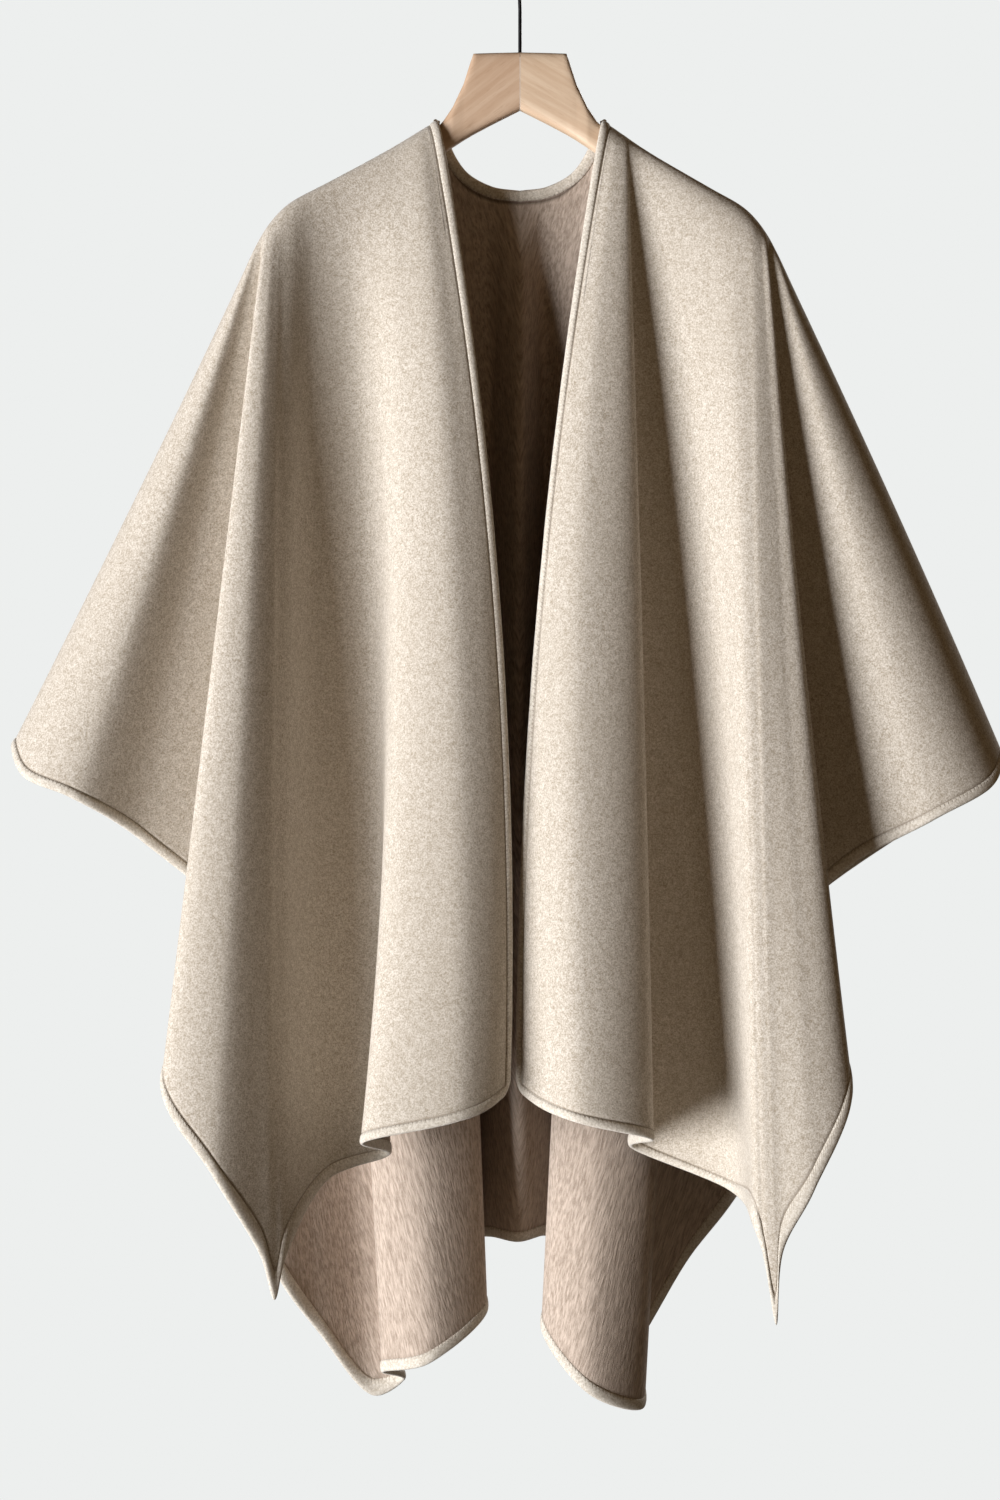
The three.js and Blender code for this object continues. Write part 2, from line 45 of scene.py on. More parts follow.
# camera, light and floor
view = {"place": (-0.0168, -2.8, -0.69132), "lens": 120, "sensor": 36}
light = {
    "backdrop": (0.847, 0.862, 0.855),
    "ambient": (0.060, 0.038, 0.018),
    "key": {"at": (-6.6, -4.25, -2.4), "size": 4.6, "watts": 1290, "colour": (0.98, 0.995, 1.03)},
    "front": {"at": (0.6, -3.6, -0.4), "size": 1.6, "watts": 4.5, "colour": (1.0, 0.74, 0.45)},
    "rear": {"at": (1.6, 3.2, 0.6), "size": 2.4, "watts": 95, "colour": (1.0, 0.985, 0.965)},
    "aim": (0, 0, -0.72),
}
floorDisc = {
    "radius": 1.6, "sides": 96, "z": -1.95, "pale": (0.66, 0.67, 0.66), "dull": (0.30, 0.302, 0.30),
    "cloud": (0.33, 0.332, 0.33), "rough": 0.9,
}


def softLight(name, spec):
    lamp = bpy.data.lights.new(name, "AREA")
    lamp.shape = "SQUARE"
    lamp.size = spec["size"]
    lamp.energy = spec["watts"]
    lamp.color = spec["colour"]
    holder = bpy.data.objects.new(name, lamp)
    holder.location = spec["at"]
    ray = Vector(light["aim"]) - Vector(spec["at"])
    holder.rotation_euler = ray.to_track_quat("-Z", "Y").to_euler()
    holder.visible_camera = False
    bpy.context.scene.collection.objects.link(holder)


def studio():
    scene = bpy.context.scene
    lens = bpy.data.cameras.new("photo_camera")
    lens.lens = view["lens"]
    lens.sensor_width = view["sensor"]
    lens.sensor_fit = "HORIZONTAL"
    camera = bpy.data.objects.new("photo_camera", lens)
    camera.location = view["place"]
    camera.rotation_euler = (math.radians(90), 0, 0)
    scene.collection.objects.link(camera)
    scene.camera = camera
    scene.view_settings.view_transform = "Standard"
    for name in ("key", "front", "rear"):
        softLight(name + "_light", light[name])
    world = bpy.data.worlds.new("pale_room")
    world.use_nodes = True
    nodes, links = world.node_tree.nodes, world.node_tree.links
    nodes.clear()
    out = nodes.new("ShaderNodeOutputWorld")
    mix = nodes.new("ShaderNodeMixShader")
    seen = nodes.new("ShaderNodeBackground")
    lit = nodes.new("ShaderNodeBackground")
    ray = nodes.new("ShaderNodeLightPath")
    seen.inputs["Color"].default_value = (*light["backdrop"], 1)
    lit.inputs["Color"].default_value = (*light["ambient"], 1)
    links.new(ray.outputs["Is Camera Ray"], mix.inputs["Fac"])
    links.new(lit.outputs[0], mix.inputs[1])
    links.new(seen.outputs[0], mix.inputs[2])
    links.new(mix.outputs[0], out.inputs["Surface"])
    scene.world = world
    bm = bmesh.new()
    bmesh.ops.create_circle(bm, cap_ends=True, radius=floorDisc["radius"], segments=floorDisc["sides"])
    bmesh.ops.translate(bm, verts=bm.verts, vec=(0, 0, floorDisc["z"]))
    floor = meshObject("studio_floor", bm, [floorPaint()])


# materials
def newMaterial(name):
    material = bpy.data.materials.new(name)
    material.use_nodes = True
    tree = material.node_tree
    tree.nodes.clear()
    out = tree.nodes.new("ShaderNodeOutputMaterial")
    shader = tree.nodes.new("ShaderNodeBsdfPrincipled")
    tree.links.new(shader.outputs[0], out.inputs["Surface"])
    return material, tree, shader


def newGroup(name, sockets):
    group = bpy.data.node_groups.new(name, "ShaderNodeTree")
    for label, way, kind, value in sockets:
        socket = group.interface.new_socket(name=label, in_out=way, socket_type="NodeSocket" + kind)
        if value is not None:
            socket.default_value = value
    return group, group.nodes.new("NodeGroupInput"), group.nodes.new("NodeGroupOutput")


def noise(tree, vector, scale, detail=3.0, roughness=0.55, distortion=0.0):
    node = tree.nodes.new("ShaderNodeTexNoise")
    node.inputs["Detail"].default_value = detail
    node.inputs["Roughness"].default_value = roughness
    node.inputs["Distortion"].default_value = distortion
    if isinstance(scale, (int, float)):
        node.inputs["Scale"].default_value = scale
    else:
        tree.links.new(scale, node.inputs["Scale"])
    tree.links.new(vector, node.inputs["Vector"])
    return node.outputs["Fac"]


def maths(tree, operation, a, b=None, c=None):
    node = tree.nodes.new("ShaderNodeMath")
    node.operation = operation
    for socket, value in zip(node.inputs, (a, b, c)):
        if value is None:
            continue
        if isinstance(value, (int, float)):
            socket.default_value = value
        else:
            tree.links.new(value, socket)
    return node.outputs[0]


def spread(tree, value, low, high, toLow=0.0, toHigh=1.0):
    node = tree.nodes.new("ShaderNodeMapRange")
    node.interpolation_type = "SMOOTHSTEP"
    for socket, number in zip(("From Min", "From Max", "To Min", "To Max"), (low, high, toLow, toHigh)):
        node.inputs[socket].default_value = number
    tree.links.new(value, node.inputs["Value"])
    return node.outputs[0]


def blendColours(tree, part, a, b, kind="MIX"):
    node = tree.nodes.new("ShaderNodeMix")
    node.data_type = "RGBA"
    node.blend_type = kind
    for socket, value in ((node.inputs[0], part), (node.inputs[6], a), (node.inputs[7], b)):
        if isinstance(value, (int, float)):
            socket.default_value = value
        elif isinstance(value, tuple):
            socket.default_value = (*value, 1)
        else:
            tree.links.new(value, socket)
    return node.outputs[2]


# object coordinates, turned and then scaled, and the same on both sides where mirrored
def objectVector(tree, scale=(1, 1, 1), turn=(0, 0, 0), mirrored=False):
    place = tree.nodes.new("ShaderNodeTexCoord").outputs["Object"]
    if mirrored:
        apart, together = tree.nodes.new("ShaderNodeSeparateXYZ"), tree.nodes.new("ShaderNodeCombineXYZ")
        tree.links.new(place, apart.inputs[0])
        tree.links.new(maths(tree, "ABSOLUTE", apart.outputs[0]), together.inputs[0])
        tree.links.new(apart.outputs[1], together.inputs[1])
        tree.links.new(apart.outputs[2], together.inputs[2])
        place = together.outputs[0]
    mapping = tree.nodes.new("ShaderNodeMapping")
    mapping.vector_type = "TEXTURE"
    mapping.inputs["Scale"].default_value = [1 / a for a in scale]
    mapping.inputs["Rotation"].default_value = [math.radians(a) for a in turn]
    tree.links.new(place, mapping.inputs["Vector"])
    return mapping.outputs[0]


def useGroup(tree, group, **values):
    node = tree.nodes.new("ShaderNodeGroup")
    node.node_tree = group
    for label, value in values.items():
        socket = node.inputs[label]
        if isinstance(value, (int, float)):
            socket.default_value = value
        else:
            tree.links.new(value, socket)
    return node.outputs


# fulled wool: fine flecks of light and dark fibre, soft clouds of tone, and a felted surface
def feltGroup():
    group, given, out = newGroup("feltedFibres", [
        ("Vector", "INPUT", "Vector", None), ("Fleck Scale", "INPUT", "Float", 620.0),
        ("Flecks", "OUTPUT", "Float", None), ("Clouds", "OUTPUT", "Float", None),
        ("Height", "OUTPUT", "Float", None)])
    vector, scale = given.outputs["Vector"], given.outputs["Fleck Scale"]
    fine = noise(group, vector, scale, 4, 0.7)
    coarse = noise(group, vector, maths(group, "MULTIPLY", scale, 0.31), 3, 0.6, 0.6)
    clouds = noise(group, vector, 9.0, 2, 0.5)
    flecks = maths(group, "MULTIPLY_ADD", spread(group, fine, 0.36, 0.64), 0.7,
                   maths(group, "MULTIPLY", spread(group, coarse, 0.3, 0.7), 0.3))
    height = maths(group, "MULTIPLY_ADD", fine, 0.55, maths(group, "MULTIPLY", coarse, 0.45))
    group.links.new(flecks, out.inputs["Flecks"])
    group.links.new(clouds, out.inputs["Clouds"])
    group.links.new(height, out.inputs["Height"])
    return group


# brushed nap: short combed streaks
def napGroup():
    group, given, out = newGroup("brushedNap", [
        ("Vector", "INPUT", "Vector", None), ("Streaks", "OUTPUT", "Float", None),
        ("Height", "OUTPUT", "Float", None)])
    streaks = noise(group, given.outputs["Vector"], 1.0, 4, 0.62, 0.35)
    broad = noise(group, given.outputs["Vector"], 0.23, 2, 0.5, 0.8)
    group.links.new(maths(group, "MULTIPLY_ADD", spread(group, streaks, 0.3, 0.72), 0.72,
                          maths(group, "MULTIPLY", broad, 0.28)), out.inputs["Streaks"])
    group.links.new(streaks, out.inputs["Height"])
    return group


def addBump(tree, shader, height, strength, distance):
    bump = tree.nodes.new("ShaderNodeBump")
    bump.inputs["Strength"].default_value = strength
    bump.inputs["Distance"].default_value = distance
    tree.links.new(height, bump.inputs["Height"])
    tree.links.new(bump.outputs[0], shader.inputs["Normal"])


def attributeFactor(tree, name):
    node = tree.nodes.new("ShaderNodeAttribute")
    node.attribute_name = name
    return node.outputs["Fac"]


# the seam colour is painted shade for the stitch groove beside the binding
oatmealFace = {
    "dark": (0.35, 0.288, 0.212), "light": (0.74, 0.675, 0.59), "cloud": (0.47, 0.41, 0.33),
    "seamPaintedShade": (0.22, 0.175, 0.13), "flecks": 760.0, "cloudShare": 0.16, "sheen": 0.2,
    "sheenSpread": 0.55, "rough": (0.98, 0.88), "specular": 0.15, "bump": 0.55, "bumpDepth": 0.0009,
}
# its seam colour is painted shade too, darker in the groove on the brushed face
taupeFace = {
    "dark": (0.24, 0.18, 0.135), "light": (0.66, 0.54, 0.445), "dusty": (0.52, 0.425, 0.35),
    "seamPaintedShade": (0.07, 0.045, 0.03), "flecks": 760.0, "dustyShare": 0.35, "strokes": (600, 600, 66),
    "lean": 17, "sheen": 0.15, "sheenSpread": 0.5, "rough": (0.98, 0.86), "specular": 0.15,
    "bump": 0.6, "bumpDepth": 0.0012,
}
# its colours are paler than the cloth's: a painted highlight on the rolled edge
boundEdge = {
    "dark": (0.46, 0.40, 0.32), "light": (0.77, 0.71, 0.62), "pulled": (0.30, 0.24, 0.18),
    "flecks": 600.0, "stitch": 3.6, "pulledShadeShare": 0.5, "pulledDepth": 0.6,
    "sheen": 0.3, "sheenSpread": 0.5, "rough": (0.98, 0.88), "specular": 0.15,
    "bump": 0.6, "bumpDepth": 0.0009,
}


# what the three wools share: roughness that follows the fibres, a soft sheen and a felted surface
def woolSurface(tree, shader, spec, fibres, height):
    tree.links.new(spread(tree, fibres, 0, 1, *spec["rough"]), shader.inputs["Roughness"])
    shader.inputs["Sheen Weight"].default_value = spec["sheen"]
    shader.inputs["Sheen Roughness"].default_value = spec["sheenSpread"]
    shader.inputs["Specular IOR Level"].default_value = spec["specular"]
    addBump(tree, shader, height, spec["bump"], spec["bumpDepth"])


def fibresOf(tree, felt, spec):
    return useGroup(tree, felt, Vector=objectVector(tree), **{"Fleck Scale": spec["flecks"]})


def oatmealWool(felt):
    material, tree, shader = newMaterial("oatmeal_wool")
    spec = oatmealFace
    fibres = fibresOf(tree, felt, spec)
    colour = blendColours(tree, fibres["Flecks"], spec["dark"], spec["light"])
    clouds = spread(tree, fibres["Clouds"], 0.35, 0.7, 0.0, spec["cloudShare"])
    colour = blendColours(tree, clouds, colour, spec["cloud"])
    # painted shade: the cloth is darkened along the stitch groove beside the binding
    colour = blendColours(tree, attributeFactor(tree, "stitchGroovePaintedShade"), colour, spec["seamPaintedShade"])
    tree.links.new(colour, shader.inputs["Base Color"])
    woolSurface(tree, shader, spec, fibres["Flecks"], fibres["Height"])
    return material


def taupeWool(nap, felt):
    material, tree, shader = newMaterial("taupe_brushed_wool")
    spec = taupeFace
    combed = useGroup(tree, nap, Vector=objectVector(tree, spec["strokes"], (0, spec["lean"], 0), True))
    fibres = fibresOf(tree, felt, spec)
    colour = blendColours(tree, combed["Streaks"], spec["dark"], spec["light"])
    dusty = spread(tree, fibres["Flecks"], 0.2, 1, 0.0, spec["dustyShare"])
    colour = blendColours(tree, dusty, colour, spec["dusty"])
    # painted shade: the brushed face is darkened along the stitch groove beside the binding
    colour = blendColours(tree, attributeFactor(tree, "stitchGroovePaintedShade"), colour, spec["seamPaintedShade"])
    tree.links.new(colour, shader.inputs["Base Color"])
    woolSurface(tree, shader, spec, combed["Streaks"], combed["Height"])
    return material


# the turned edge: the same wool, painted a little paler than the cloth as a highlight on its rolled
# edge, with a stitch every few millimetres
def edgeWool(felt):
    material, tree, shader = newMaterial("bound_edge_wool")
    spec = boundEdge
    fibres = fibresOf(tree, felt, spec)
    colour = blendColours(tree, fibres["Flecks"], spec["dark"], spec["light"])
    perMetre = 2 * math.pi / (spec["stitch"] * mm)
    turns = maths(tree, "MULTIPLY", attributeFactor(tree, "alongEdge"), perMetre)
    stitches = spread(tree, maths(tree, "SINE", turns), 0.25, 1.0)
    pull = maths(tree, "MULTIPLY", stitches, attributeFactor(tree, "stitchRow"))
    # painted shade: each stitch of the row darkens the edge where it pulls it in
    pulledShadeShare = maths(tree, "MULTIPLY", pull, spec["pulledShadeShare"])
    colour = blendColours(tree, pulledShadeShare, colour, spec["pulled"])
    tree.links.new(colour, shader.inputs["Base Color"])
    pulledDepth = maths(tree, "MULTIPLY", pull, spec["pulledDepth"])
    height = maths(tree, "SUBTRACT", fibres["Height"], pulledDepth)
    woolSurface(tree, shader, spec, fibres["Flecks"], height)
    return material


beechWood = {
    "dark": (0.47, 0.30, 0.185), "mid": (0.62, 0.44, 0.295), "light": (0.72, 0.545, 0.385),
    "flake": (0.55, 0.36, 0.23),
    "rings": (9, 60, 150), "pores": (90, 900, 1100), "flakes": (60, 500, 260),
    "poreShare": 0.45, "flakeShare": 0.25, "poreDepth": 0.4, "rough": (0.42, 0.56),
    "bump": 0.25, "bumpDepth": 0.0004,
    # the right half is darkened as painted shade, as if turned away from the light; the left half keeps
    # its colour
    "rightTurn": (0, -38, 0), "rightPaintedShade": (0.84, 0.79, 0.77),
    "leftTurn": (0, 30, 0), "leftPaintedShade": (1.0, 1.0, 1.0),
}


def beech(name, grainTurn, halfPaintedShade):
    material, tree, shader = newMaterial(name)
    spec = beechWood
    rings = noise(tree, objectVector(tree, spec["rings"], grainTurn), 1.0, 3, 0.6, 0.25)
    pores = noise(tree, objectVector(tree, spec["pores"], grainTurn), 1.0, 2, 0.6)
    flakes = noise(tree, objectVector(tree, spec["flakes"], grainTurn), 1.0, 2, 0.5)
    colour = blendColours(tree, spread(tree, rings, 0.34, 0.68), spec["mid"], spec["light"])
    poreShare = spread(tree, pores, 0.56, 0.74, 0.0, spec["poreShare"])
    colour = blendColours(tree, poreShare, colour, spec["dark"])
    flakeShare = spread(tree, flakes, 0.6, 0.75, 0.0, spec["flakeShare"])
    colour = blendColours(tree, flakeShare, colour, spec["flake"])
    # painted shade multiplied into the half that is turned from the light
    colour = blendColours(tree, 1.0, colour, halfPaintedShade, "MULTIPLY")
    tree.links.new(colour, shader.inputs["Base Color"])
    tree.links.new(spread(tree, rings, 0.2, 0.8, *spec["rough"]), shader.inputs["Roughness"])
    height = maths(tree, "SUBTRACT", rings, maths(tree, "MULTIPLY", pores, spec["poreDepth"]))
    addBump(tree, shader, height, spec["bump"], spec["bumpDepth"])
    return material


wirePaint = {
    "dark": (0.012, 0.012, 0.014), "light": (0.035, 0.034, 0.036), "marks": (500, 500, 120),
    "metal": 0.85, "rough": (0.3, 0.48),
}


def blackWire():
    material, tree, shader = newMaterial("blackened_wire")
    marks = noise(tree, objectVector(tree, wirePaint["marks"]), 1.0, 3, 0.6)
    colour = blendColours(tree, marks, wirePaint["dark"], wirePaint["light"])
    tree.links.new(colour, shader.inputs["Base Color"])
    tree.links.new(spread(tree, marks, 0.2, 0.8, *wirePaint["rough"]), shader.inputs["Roughness"])
    shader.inputs["Metallic"].default_value = wirePaint["metal"]
    return material


# pale wherever the camera looks at it, and dull for the light that it throws back
def floorPaint():
    material, tree, shader = newMaterial("floor_paint")
    cloud = noise(tree, objectVector(tree), 3.0, 2, 0.5)
    colour = blendColours(tree, cloud, floorDisc["dull"], floorDisc["cloud"])
    tree.links.new(colour, shader.inputs["Base Color"])
    shader.inputs["Roughness"].default_value = floorDisc["rough"]
    shader.inputs["Emission Color"].default_value = (*floorDisc["pale"], 1)
    seen = tree.nodes.new("ShaderNodeLightPath").outputs["Is Camera Ray"]
    tree.links.new(seen, shader.inputs["Emission Strength"])
    return material


def meshObject(name, bm, materials):
    mesh = bpy.data.meshes.new(name)
    bm.to_mesh(mesh)
    bm.free()
    for material in materials:
        mesh.materials.append(material)
    piece = bpy.data.objects.new(name, mesh)
    bpy.context.scene.collection.objects.link(piece)
    return piece


# a closed body through rings of points: a grid, rolled up and welded, with its ends filled
def bodyThrough(name, rings, materials, attributes=None):
    count, around = rings.shape[:2]
    bm = bmesh.new()
    bmesh.ops.create_grid(bm, x_segments=count - 1, y_segments=around, size=1)
    layers = {key: bm.verts.layers.float.new(key) for key in (attributes or {})}
    for v in bm.verts:
        i = round((v.co.x + 1) / 2 * (count - 1))
        k = round((v.co.y + 1) / 2 * around) % around
        v.co = rings[i, k]
        for key, layer in layers.items():
            v[layer] = attributes[key][i, k]
    bmesh.ops.remove_doubles(bm, verts=bm.verts, dist=1e-6)
    ends = [e for e in bm.edges if e.is_boundary]
    filled = bmesh.ops.holes_fill(bm, edges=ends, sides=0)["faces"]
    bmesh.ops.triangulate(bm, faces=filled)
    bmesh.ops.recalc_face_normals(bm, faces=bm.faces)
    for f in bm.faces:
        f.smooth = True
    for e in ends:
        if e.is_valid:
            e.smooth = False
    return meshObject(name, bm, materials)


# lines that the cloth hangs from, on one side: along the arm, round its end and down the sleeve
shoulderLine = [
    (69, 0, -164), (112, -5, -190), (155, -12, -215), (190, -18, -236), (207, -20, -256),
    (219, -20, -279),
]
# where the back meets its neck edge, from the shoulder to the centre
neckLine = [
    (69, 0, -164), (69, 9, -166.5), (68, 15.5, -175), (63, 19, -190), (49, 23, -209), (25, 26.5, -221.5),
    (0, 27.5, -225),
]
rightSide = {"sign": -1, "reach": 1.02, "lower": 2}
leftSide = {"sign": 1, "reach": 0.985, "lower": 5}
cloth = {
    "wall": 2.6, "seamGap": 0.1, "edgeWidth": 9, "topZone": 56,
    "blendDown": 12,  # the cloth leaves its hanging line within this length
    "outwardAfter": 60,  # the two sides of the hanger differ from here on
}

# each fold is a line of the cloth from its start on the hanger (mm out from the neck, less than 0 along
# the back of the neck) to the edge below, bent half way by bow, and standing off the hanger by roll
rightFront = {
    "name": "right_front", "turn": -1, "facing": -1, "side": rightSide, "rests": "hanger_right_half",
    "flat": (0.65, 0.84), "area": 0.483, "mesh": {"cell": 6.0, "fallRings": 132},
    # fold, start, x, y, z, bowX, bowY, roll
    "folds": [
        ("front edge", 0, -9, -74, -971, 22, -2, 17),
        ("edge turn", 11, -30, -98, -985, 20, 0, 17),
        ("first crest", 18, -56, -109, -993, 11, 0, 18),
        ("first roll", 42, -127, -92, -1010, 18, 8, 18),
        ("first valley", 90, -112, 8, -1034, 4, 22, 18),
        ("valley floor", 116, -160, -16, -1050, -6, 24, 18),
        ("hem by the corner", 136, -193, -67, -1108, -4, 14, 18),
        ("corner", 146, -201, -76, -1141, -3, 8, 18),
        ("side by the corner", 153, -212, -81, -1105, 0, 3, 18),
        ("side curve", 160, -250, -101, -1036, 0, 0, 18),
        ("second roll", 167, -292, -85, -966, 0, 0, 18),
        ("hidden valley", 173, -224, 9, -866, 0, 7, 18),
        ("sleeve turn", 178, -316, -12, -768, 0, 5, 17),
        ("sleeve crest", 184, -371, -47, -731, 0, 0, 14),
        ("by the wrist", 189, -412, -34, -714, 1, 0, 8),
        ("wrist", 193, -426, 0, -689, 2, 0, 0),
    ],
}
leftFront = {
    "name": "left_front", "turn": 1, "facing": -1, "side": leftSide, "rests": "hanger_left_half",
    "flat": (0.65, 0.84), "area": 0.483, "mesh": {"cell": 6.0, "fallRings": 132},
    "folds": [
        ("front edge", 0, -3, -56, -971, -18, -4, 17),
        ("edge turn", 11, 18, -84, -984, -20, -4, 17),
        ("first crest", 16, 48, -110, -993, -15, 0, 18),
        ("first roll", 22, 105, -88, -1008, 2, 4, 18),
        ("first valley", 27, 96, 8, -1028, -2, 4, 18),
        ("valley floor", 34, 176, -12, -1060, 5, 14, 18),
        ("second crest", 122, 190, -98, -1080, 2, 0, 18),
        ("hem by the corner", 132, 197, -106, -1104, -1, 0, 18),
        ("corner", 143, 206, -113, -1155, -2, 0, 18),
        ("side by the corner", 150, 212, -109, -1096, -2, 0, 18),
        ("side curve", 159, 237, -110, -1047, 0, 5, 18),
        ("second roll", 168, 269, -86, -966, -4, 3, 18),
        ("hidden valley", 173, 210, 6, -868, 0, 6, 18),
        ("sleeve turn", 178, 270, -8, -794, 0, 4, 17),
        ("sleeve crest", 184, 342, -48, -749, 0, 0, 14),
        ("by the wrist", 189, 391, -36, -722, 2, 0, 8),
        ("wrist", 193, 405, 0, -697, 3, 0, 0),
    ],
}
back = {
    "name": "back_panel", "turn": -1, "facing": 1,
    "flat": (1.40, 0.935), "area": 1.10, "mesh": {"cell": 6.8, "fallRings": 112},
    "rightFolds": [
        ("wrist", 193, -426, 0, -689, 2, 0, 0),
        ("by the wrist", 189, -414, 28, -715, 1, 0, 8),
        ("sleeve crest", 183, -352, 44, -743, 0, 0, 14),
        ("hidden valley", 175, -232, 26, -850, 0, 0, 17),
        ("side ridge", 166, -272, 88, -985, 10, 6, 18),
        ("side edge", 156, -212, 66, -1137, 0, 10, 18),
        ("side by the corner", 150, -174, 96, -1198, 0, 9, 18),
        ("corner", 143, -127, 125, -1258, 0, 8, 18),
        ("hem by the corner", 134, -101, 117, -1243, -8, 8, 18),
        ("ridge outside", 104, -118, 80, -1229, 0, 4, 18),
        ("ridge crest", 48, -78, 48, -1216, 0, 8, 17),
        ("ridge inside", 0, -29, 82, -1178, 0, 4, 15),
        ("behind the arm", -20, -40, 110, -1164, 0, 6, 0),
        ("ridge root", -66, -54, 140, -1148, 0, 8, 0),
        ("deep valley", -89, -39, 180, -1130, 0, 24, 0),
        ("strip side", -102, -25, 142, -1121, 3, -4, 0),
    ],
    "leftFolds": [
        ("centre", -112.6, -1, 118, -1122, 0, -18, 0),
        ("strip side", -105, 22, 142, -1120, -3, -4, 0),
        ("deep valley", -96, 36, 180, -1132, 0, 24, 0),
        ("ridge root", -74, 51, 140, -1158, 0, 8, 0),
        ("behind the arm", -20, 36, 110, -1176, 0, 6, 0),
        ("ridge inside", 0, 20, 82, -1192, 0, 4, 15),
        ("ridge crest", 46, 58, 48, -1241, 0, 8, 17),
        ("ridge outside", 102, 105, 80, -1261, 0, 4, 18),
        ("hem by the corner", 132, 102, 134, -1238, 0, 4, 18),
        ("corner", 141, 101, 148, -1222, 0, 4, 18),
        ("side by the corner", 147, 112, 156, -1207, 0, 4, 18),
        ("side curve", 152, 150, 164, -1145, 0, 6, 18),
        ("side edge", 158, 190, 158, -1092, 0, 6, 18),
        ("side ridge", 166, 250, 126, -985, 0, 6, 18),
        ("hidden valley", 175, 220, 26, -852, 0, 0, 17),
        ("sleeve crest", 183, 332, 44, -760, 0, 0, 14),
        ("by the wrist", 189, 393, 26, -723, 2, 0, 8),
        ("wrist", 193, 405, 0, -697, 3, 0, 0),
    ],
}


# smooth curve from p1 to p2, with its speed set by the spacing of the points
def between(p0, p1, p2, p3, t):
    d0, d1, d2 = (np.sqrt(np.maximum(np.linalg.norm(b - a, axis=-1, keepdims=True), 1e-6))
                  for a, b in ((p0, p1), (p1, p2), (p2, p3)))
    m1 = ((p1 - p0) / d0 - (p2 - p0) / (d0 + d1) + (p2 - p1) / d1) * d1
    m2 = ((p2 - p1) / d1 - (p3 - p1) / (d1 + d2) + (p3 - p2) / d2) * d1
    t = np.asarray(t)[..., None]
    return p1 + m1 * t + (3 * (p2 - p1) - 2 * m1 - m2) * t ** 2 + (2 * (p1 - p2) + m1 + m2) * t ** 3


def lineAt(points, t):
    points = np.array(points, float)
    points = np.vstack([2 * points[0] - points[1], points, 2 * points[-1] - points[-2]])
    i = np.clip(np.floor(t).astype(int), 0, len(points) - 4)
    return between(points[i], points[i + 1], points[i + 2], points[i + 3], t - i)


lineSamples = 1201


def lineByLength(points):
    t = np.linspace(0, len(points) - 1, lineSamples)
    walked = np.concatenate([[0], np.cumsum(np.linalg.norm(np.diff(lineAt(points, t), axis=0), axis=1))])
    return lambda length: lineAt(points, np.interp(length, walked, t))


onShoulder, onNeck = lineByLength(shoulderLine), lineByLength(neckLine)


def hangingPoints(start, sign, reach, lower):
    start = np.asarray(start, float)
    point = np.where(start[..., None] < 0, onNeck(np.abs(start)), onShoulder(np.abs(start)))
    out = np.clip(start / cloth["outwardAfter"], 0, 1)
    point[..., 0] *= sign * (1 + (reach - 1) * out)
    point[..., 2] -= lower * out
    return point


def foldLines(panel):
    if "folds" in panel:
        rows = [(row, panel["side"]) for row in panel["folds"]]
    else:
        rows = [(row, rightSide) for row in panel["rightFolds"]]
        rows += [(row, leftSide) for row in panel["leftFolds"]]
    lines = {"facing": panel["facing"], "turn": panel["turn"], "names": [row[0] for row, side in rows]}
    for key in ("sign", "reach", "lower"):
        lines[key] = np.array([side[key] for row, side in rows], float)
    table = np.array([row[1:] for row, side in rows], float)
    lines["start"], x, y, z, bowX, bowY, lines["roll"] = table.T
    lines["top"] = hangingPoints(lines["start"], lines["sign"], lines["reach"], lines["lower"])
    lines["top"][:, 1] += np.where(lines["start"] >= 0, panel["facing"] * cloth["seamGap"] / 2, 0)
    y = np.where([name == "wrist" for name in lines["names"]], panel["facing"] * cloth["seamGap"] / 2, y)
    lines["end"] = np.stack([x, y, z], 1)
    lines["bow"] = np.stack([bowX, bowY, 0 * x], 1)
    reach = lines["end"] - lines["top"]
    lines["length"] = np.linalg.norm(reach, axis=1)
    lines["straight"] = reach - np.outer(lines["roll"], (0, panel["facing"], 0))
    # the binding is edgeWidth wide square to the outline, so it reaches further up
    # where the outline runs aslant
    down = reach / lines["length"][:, None]
    slants = []
    for r in range(len(rows)):
        beside = [lines["end"][i] - lines["end"][r] for i in (r - 1, r + 1) if 0 <= i < len(rows)]
        slants.append(min(np.linalg.norm(np.cross(b / np.linalg.norm(b), down[r])) for b in beside))
    width = cloth["edgeWidth"]
    lines["last"] = lines["length"] - np.minimum(width / np.array(slants), 3 * width)
    return lines


# a point on fold r: ring 0 to 1 is the roll over the hanger, 1 to 2 the fall, 2 to 3 the edge binding
def onFold(lines, r, ring):
    length, last, roll = lines["length"][r], lines["last"][r], lines["roll"][r]
    zone = cloth["topZone"]
    fall, binding = zone + (last - zone) * (ring - 1), last + (length - last) * (ring - 2)
    s = np.where(ring < 1, zone * ring, np.where(ring < 2, fall, binding))
    stand = roll * (1 - np.exp(-s / np.maximum(roll, 1e-6)))
    full = roll * (1 - np.exp(-length / np.maximum(roll, 1e-6)))
    t = s / length
    point = lines["top"][r] + lines["straight"][r] * ((s - stand) / (length - full))[..., None]
    point[..., 1] += lines["facing"] * stand
    return point + lines["bow"][r] * (4 * t * (1 - t))[..., None]


# past the wrist the cloth goes on over the fold, the same on the other side
def beyondWrist(lines, outermost, inward, ring):
    edge, inner = onFold(lines, outermost, ring), onFold(lines, inward, ring)
    inner[..., 1] = 2 * edge[..., 1] - inner[..., 1]
    return inner


